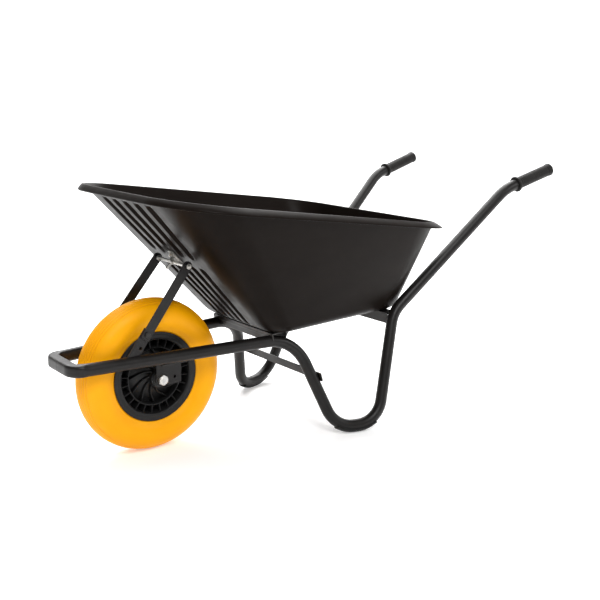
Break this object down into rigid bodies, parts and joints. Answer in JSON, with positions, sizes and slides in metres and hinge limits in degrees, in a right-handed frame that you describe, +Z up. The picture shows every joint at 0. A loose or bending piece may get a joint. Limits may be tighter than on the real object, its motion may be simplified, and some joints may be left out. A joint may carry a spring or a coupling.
{
  "type": "wheelbarrow",
  "caption": "Single-wheel barrow with a deep flared tray, bent tube frame with leg loops, flat struts to the nose, and a solid foam tyre that spins on a bolted axle.",
  "frame": {"origin": "centre of the bounding box in plan, on the ground plane that the tyre and the foot pads touch", "axes": "+X from the wheel towards the handles, +Y to the right-hand side seen from above with the wheel ahead at -X, +Z up"},
  "size_m": [1.4728, 0.7216, 0.7009],
  "materials": {
    "frame_paint": "semi-gloss black powder coat",
    "bar_paint": "semi-gloss black powder coat",
    "tray_plastic": "satin black polyethylene",
    "tyre_foam": "smooth polyurethane foam skin",
    "rim_plastic": "moulded black plastic",
    "grip_rubber": "soft black",
    "bush_nylon": "natural nylon",
    "plain_steel": "drawn steel tube",
    "black_fixings": "black oxide",
    "zinc_plate": "bright zinc plate"
  },
  "bodies": {
    "frame": {"frame_tube_left": "frame_paint", "frame_tube_right": "frame_paint", "nose_sleeve": "plain_steel", "axle_bracket_left": "bar_paint", "axle_bracket_right": "bar_paint", "strut_tab_left": "bar_paint", "strut_tab_right": "bar_paint", "strut_left": "bar_paint", "strut_right": "bar_paint", "strut_bolts": "black_fixings", "strut_nuts": "black_fixings", "strut_rod": "zinc_plate", "strut_rod_nuts": "zinc_plate", "tray_clip": "zinc_plate", "tray_clip_bolt": "zinc_plate", "tray_clip_nut": "zinc_plate", "front_crossmember": "bar_paint", "rail_screws": "zinc_plate", "rear_crossmember": "bar_paint", "leg_brace": "bar_paint", "brace_bolts": "zinc_plate", "foot_pad_left": "frame_paint", "foot_pad_right": "frame_paint", "grip_left": "grip_rubber", "grip_right": "grip_rubber", "axle_bolt": "zinc_plate", "axle_nut": "zinc_plate", "axle_sleeve": "plain_steel", "axle_washers": "zinc_plate", "tray": "tray_plastic", "tray_bolts": "zinc_plate", "tray_washers": "zinc_plate", "tray_nuts": "zinc_plate"},
    "wheel": {"tyre": "tyre_foam", "rim": "rim_plastic", "bush_left": "bush_nylon", "bush_right": "bush_nylon"}
  },
  "joints": [
    {"name": "wheel_spin", "type": "hinge", "parent": "frame", "child": "wheel", "pos_m": [-0.48542, 0, 0.2], "axis": [0, 1, 0], "continuous": true}
  ]
}
